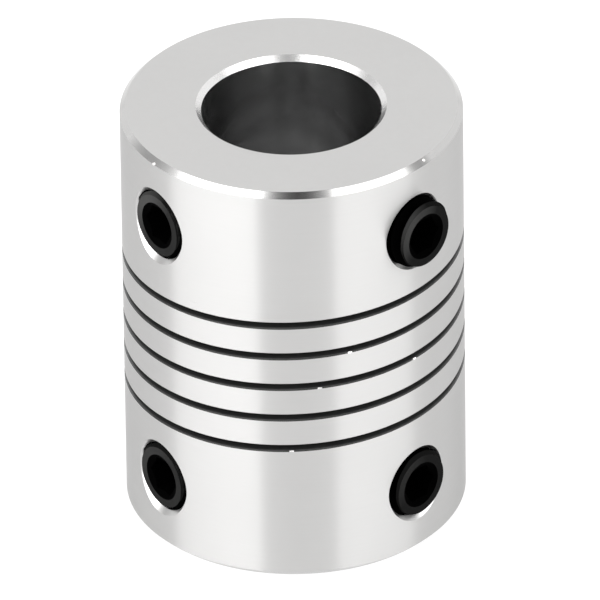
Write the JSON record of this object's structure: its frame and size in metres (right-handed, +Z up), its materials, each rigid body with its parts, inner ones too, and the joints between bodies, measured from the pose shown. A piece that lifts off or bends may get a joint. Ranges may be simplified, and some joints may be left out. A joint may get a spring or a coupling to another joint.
{
  "type": "flexible shaft coupling",
  "caption": "One-piece aluminium beam coupling with a helical slit; set screws in each hub grip two shafts end to end.",
  "frame": {"origin": "centre of the lower end face, on the bore axis", "axes": "+Z up along the bore axis; -Y is the front, midway between the two set screws of each hub; +X to the right seen from the front"},
  "size_m": [0.019, 0.019, 0.025],
  "materials": {
    "aluminium": "fine turned, clear",
    "black_oxide_steel": "black oxide on alloy steel"
  },
  "bodies": {
    "body": {"coupling_body": "aluminium"},
    "upper_left_screw": {"set_screw_upper_left": "black_oxide_steel"},
    "upper_right_screw": {"set_screw_upper_right": "black_oxide_steel"},
    "lower_left_screw": {"set_screw_lower_left": "black_oxide_steel"},
    "lower_right_screw": {"set_screw_lower_right": "black_oxide_steel"}
  },
  "joints": [
    {"name": "upper_left_screw_travel", "type": "slide", "parent": "body", "child": "upper_left_screw", "axis": [-0.7576, -0.6528, 0], "range_m": [-0.0004, 0.0024]},
    {"name": "upper_right_screw_travel", "type": "slide", "parent": "body", "child": "upper_right_screw", "axis": [0.7576, -0.6528, 0], "range_m": [-0.00125, 0.00155]},
    {"name": "lower_left_screw_travel", "type": "slide", "parent": "body", "child": "lower_left_screw", "axis": [-0.7576, -0.6528, 0], "range_m": [-0.0004, 0.0024]},
    {"name": "lower_right_screw_travel", "type": "slide", "parent": "body", "child": "lower_right_screw", "axis": [0.7576, -0.6528, 0], "range_m": [-0.0007, 0.0021]}
  ]
}
